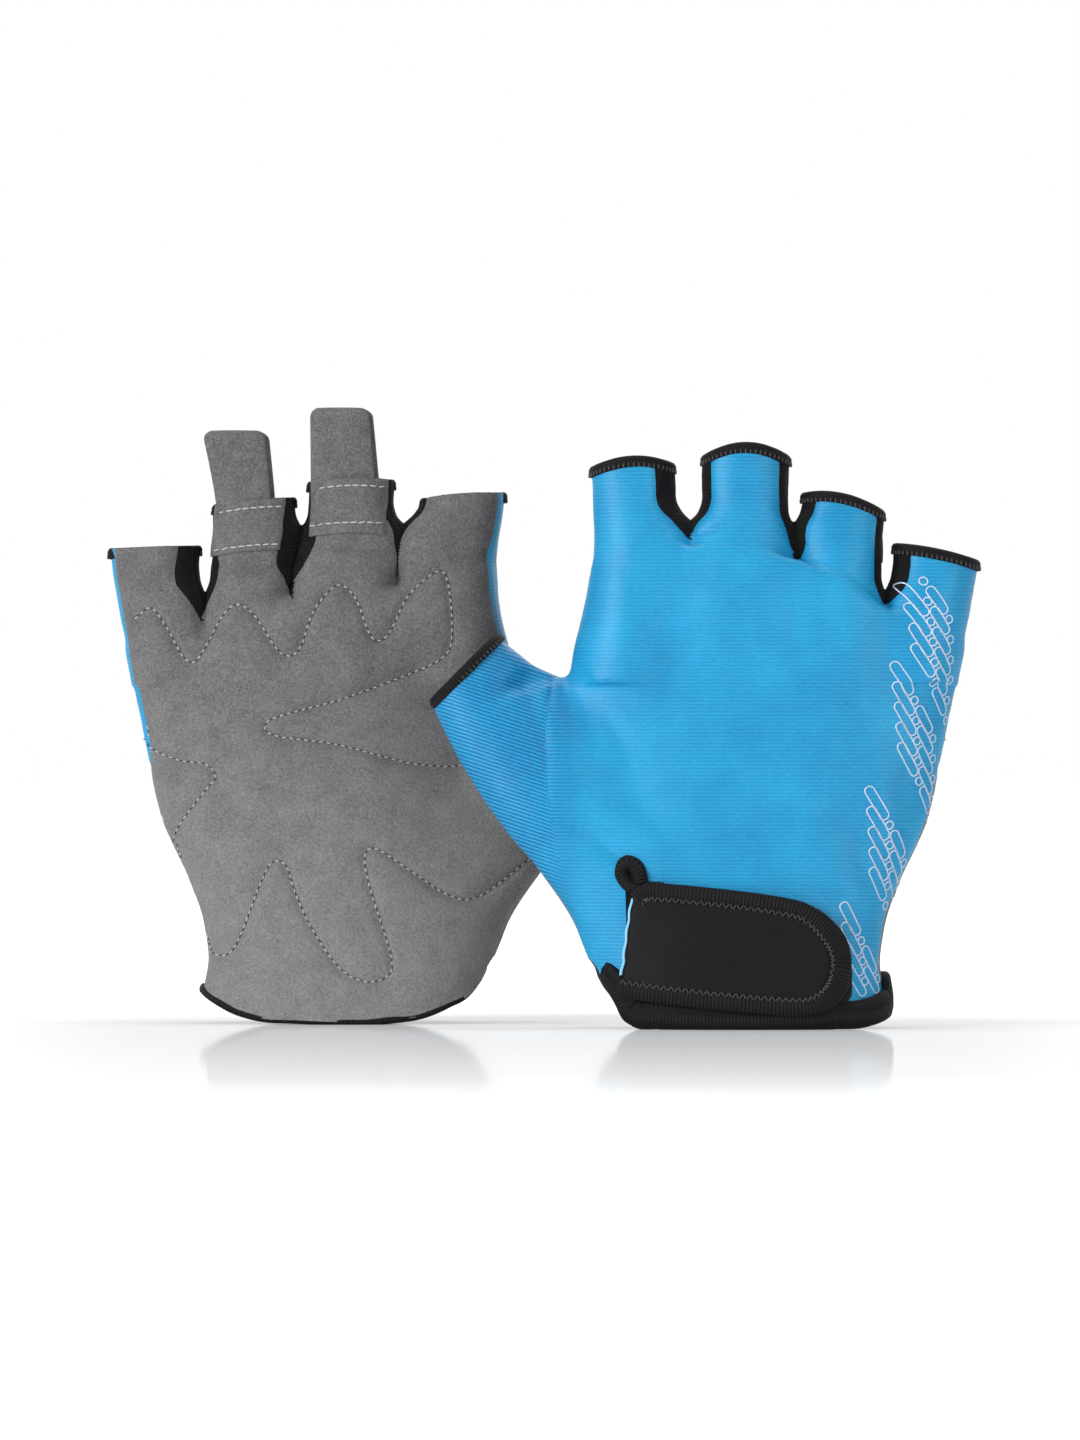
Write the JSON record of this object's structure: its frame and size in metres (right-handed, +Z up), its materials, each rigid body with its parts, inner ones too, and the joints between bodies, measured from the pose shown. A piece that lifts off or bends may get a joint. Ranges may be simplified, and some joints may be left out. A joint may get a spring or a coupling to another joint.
{
  "type": "sailing gloves",
  "caption": "Pair of half-finger sailing gloves with suede palms, mesh side panels, finger pull tabs and hook-and-loop wrist straps.",
  "frame": {"origin": "centre of the pair's footprint box, on the surface that the wrist hems stand on", "axes": "+X along the row the two gloves stand in, from glove A (palm forward) to glove B (back forward); -Y is the front; +Z up from the hems to the fingertips"},
  "size_m": [0.2434, 0.0986, 0.1721],
  "materials": {
    "back_fabric": "satin ribbed stretch knit",
    "palm_suede": "matt brushed synthetic suede",
    "gusset_mesh": "matt fine mesh",
    "binding_tape": "matt ribbed tape",
    "neoprene": "smooth matt laminate",
    "hook_loop": "fuzzy hook and loop",
    "foam_pad": "closed-cell foam",
    "reflective_print": "silver reflective print",
    "stitch_thread": "twisted thread",
    "seam_edge": "pale cut edge"
  },
  "bodies": {
    "glove_a_hand": {"glove_a_back_panel": "back_fabric", "glove_a_palm_panel": "palm_suede", "glove_a_thumb_gusset": "back_fabric", "glove_a_loop_patch": "hook_loop", "glove_a_wrist_binding": "binding_tape", "glove_a_slit_binding": "binding_tape", "glove_a_palm_pads": "foam_pad"},
    "glove_a_strap": {"glove_a_strap": "neoprene", "glove_a_strap_binding": "binding_tape", "glove_a_hook_patch": "hook_loop"},
    "glove_a_thumb": {"glove_a_thumb_sleeve": "back_fabric", "glove_a_thumb_binding": "binding_tape"},
    "glove_a_index": {"glove_a_index_back": "back_fabric", "glove_a_index_palm": "palm_suede", "glove_a_index_gusset": "gusset_mesh", "glove_a_index_binding": "binding_tape"},
    "glove_a_middle": {"glove_a_middle_back": "back_fabric", "glove_a_middle_palm": "palm_suede", "glove_a_middle_gusset": "gusset_mesh", "glove_a_middle_binding": "binding_tape"},
    "glove_a_ring": {"glove_a_ring_back": "back_fabric", "glove_a_ring_palm": "palm_suede", "glove_a_ring_gusset": "gusset_mesh", "glove_a_ring_binding": "binding_tape"},
    "glove_a_pinky": {"glove_a_pinky_back": "back_fabric", "glove_a_pinky_palm": "palm_suede", "glove_a_pinky_gusset": "gusset_mesh", "glove_a_pinky_binding": "binding_tape"},
    "glove_a_middle_pull_tab": {"glove_a_middle_pull_tab": "palm_suede"},
    "glove_a_ring_pull_tab": {"glove_a_ring_pull_tab": "palm_suede"},
    "glove_b_hand": {"glove_b_back_panel": "back_fabric", "glove_b_palm_panel": "palm_suede", "glove_b_thumb_gusset": "back_fabric", "glove_b_loop_patch": "hook_loop", "glove_b_wrist_binding": "binding_tape", "glove_b_slit_binding": "binding_tape", "glove_b_palm_pads": "foam_pad"},
    "glove_b_strap": {"glove_b_strap": "neoprene", "glove_b_strap_binding": "binding_tape", "glove_b_hook_patch": "hook_loop"},
    "glove_b_thumb": {"glove_b_thumb_sleeve": "back_fabric", "glove_b_thumb_binding": "binding_tape"},
    "glove_b_index": {"glove_b_index_back": "back_fabric", "glove_b_index_palm": "palm_suede", "glove_b_index_gusset": "gusset_mesh", "glove_b_index_binding": "binding_tape"},
    "glove_b_middle": {"glove_b_middle_back": "back_fabric", "glove_b_middle_palm": "palm_suede", "glove_b_middle_gusset": "gusset_mesh", "glove_b_middle_binding": "binding_tape"},
    "glove_b_ring": {"glove_b_ring_back": "back_fabric", "glove_b_ring_palm": "palm_suede", "glove_b_ring_gusset": "gusset_mesh", "glove_b_ring_binding": "binding_tape"},
    "glove_b_pinky": {"glove_b_pinky_back": "back_fabric", "glove_b_pinky_palm": "palm_suede", "glove_b_pinky_gusset": "gusset_mesh", "glove_b_pinky_binding": "binding_tape"},
    "glove_b_middle_pull_tab": {"glove_b_middle_pull_tab": "palm_suede"},
    "glove_b_ring_pull_tab": {"glove_b_ring_pull_tab": "palm_suede"}
  },
  "joints": [
    {"name": "glove_b_apart", "type": "slide", "parent": "glove_a_hand", "child": "glove_b_hand", "axis": [1, 0, 0], "range_m": [0, 0.15]},
    {"name": "glove_a_index_flex", "type": "hinge", "parent": "glove_a_hand", "child": "glove_a_index", "pos_m": [-0.0277, 0.0107, 0.1194], "axis": [1, 0, 0], "range_deg": [0, 70], "stiffness_Nm_per_rad": 0.01},
    {"name": "glove_a_middle_flex", "type": "hinge", "parent": "glove_a_hand", "child": "glove_a_middle", "pos_m": [-0.0557, 0.0109, 0.1208], "axis": [1, 0, 0], "range_deg": [0, 70], "stiffness_Nm_per_rad": 0.01},
    {"name": "glove_a_ring_flex", "type": "hinge", "parent": "glove_a_hand", "child": "glove_a_ring", "pos_m": [-0.0827, 0.0114, 0.1188], "axis": [1, 0, 0], "range_deg": [0, 70], "stiffness_Nm_per_rad": 0.01},
    {"name": "glove_a_pinky_flex", "type": "hinge", "parent": "glove_a_hand", "child": "glove_a_pinky", "pos_m": [-0.1072, 0.0122, 0.1098], "axis": [1, 0, 0], "range_deg": [0, 70], "stiffness_Nm_per_rad": 0.01},
    {"name": "glove_a_thumb_flex", "type": "hinge", "parent": "glove_a_hand", "child": "glove_a_thumb", "pos_m": [0.00925, 0.0115, 0.0858], "axis": [0.7085, 0, -0.7057], "range_deg": [0, 40], "stiffness_Nm_per_rad": 0.01},
    {"name": "glove_a_strap_open", "type": "hinge", "parent": "glove_a_hand", "child": "glove_a_strap", "pos_m": [-0.0219, 0.038, 0.022], "axis": [0, 0, -1], "range_deg": [0, 110]},
    {"name": "glove_a_middle_pull_tab_fold", "type": "hinge", "parent": "glove_a_middle", "child": "glove_a_middle_pull_tab", "pos_m": [-0.057, 0.0133, 0.1519], "axis": [0.9997, 0, 0.0244], "range_deg": [-25, 150], "stiffness_Nm_per_rad": 0.002},
    {"name": "glove_a_ring_pull_tab_fold", "type": "hinge", "parent": "glove_a_ring", "child": "glove_a_ring_pull_tab", "pos_m": [-0.08375, 0.0136, 0.1455], "axis": [0.9762, 0, 0.2169], "range_deg": [-25, 150], "stiffness_Nm_per_rad": 0.002},
    {"name": "glove_b_index_flex", "type": "hinge", "parent": "glove_b_hand", "child": "glove_b_index", "pos_m": [0.0277, -0.0107, 0.1194], "axis": [-1, 0, 0], "range_deg": [0, 70], "stiffness_Nm_per_rad": 0.01},
    {"name": "glove_b_middle_flex", "type": "hinge", "parent": "glove_b_hand", "child": "glove_b_middle", "pos_m": [0.0557, -0.0109, 0.1208], "axis": [-1, 0, 0], "range_deg": [0, 70], "stiffness_Nm_per_rad": 0.01},
    {"name": "glove_b_ring_flex", "type": "hinge", "parent": "glove_b_hand", "child": "glove_b_ring", "pos_m": [0.0827, -0.0114, 0.1188], "axis": [-1, 0, 0], "range_deg": [0, 70], "stiffness_Nm_per_rad": 0.01},
    {"name": "glove_b_pinky_flex", "type": "hinge", "parent": "glove_b_hand", "child": "glove_b_pinky", "pos_m": [0.1072, -0.0122, 0.1098], "axis": [-1, 0, 0], "range_deg": [0, 70], "stiffness_Nm_per_rad": 0.01},
    {"name": "glove_b_thumb_flex", "type": "hinge", "parent": "glove_b_hand", "child": "glove_b_thumb", "pos_m": [-0.00925, -0.0115, 0.0858], "axis": [-0.7085, 0, -0.7057], "range_deg": [0, 40], "stiffness_Nm_per_rad": 0.01},
    {"name": "glove_b_strap_open", "type": "hinge", "parent": "glove_b_hand", "child": "glove_b_strap", "pos_m": [0.0219, -0.038, 0.022], "axis": [0, 0, -1], "range_deg": [0, 110]},
    {"name": "glove_b_middle_pull_tab_fold", "type": "hinge", "parent": "glove_b_middle", "child": "glove_b_middle_pull_tab", "pos_m": [0.057, -0.0133, 0.1609], "axis": [-0.9997, 0, 0.0244], "range_deg": [-150, 0], "stiffness_Nm_per_rad": 0.002},
    {"name": "glove_b_ring_pull_tab_fold", "type": "hinge", "parent": "glove_b_ring", "child": "glove_b_ring_pull_tab", "pos_m": [0.08375, -0.0136, 0.1465], "axis": [-0.9762, 0, 0.2169], "range_deg": [-150, 0], "stiffness_Nm_per_rad": 0.002}
  ]
}
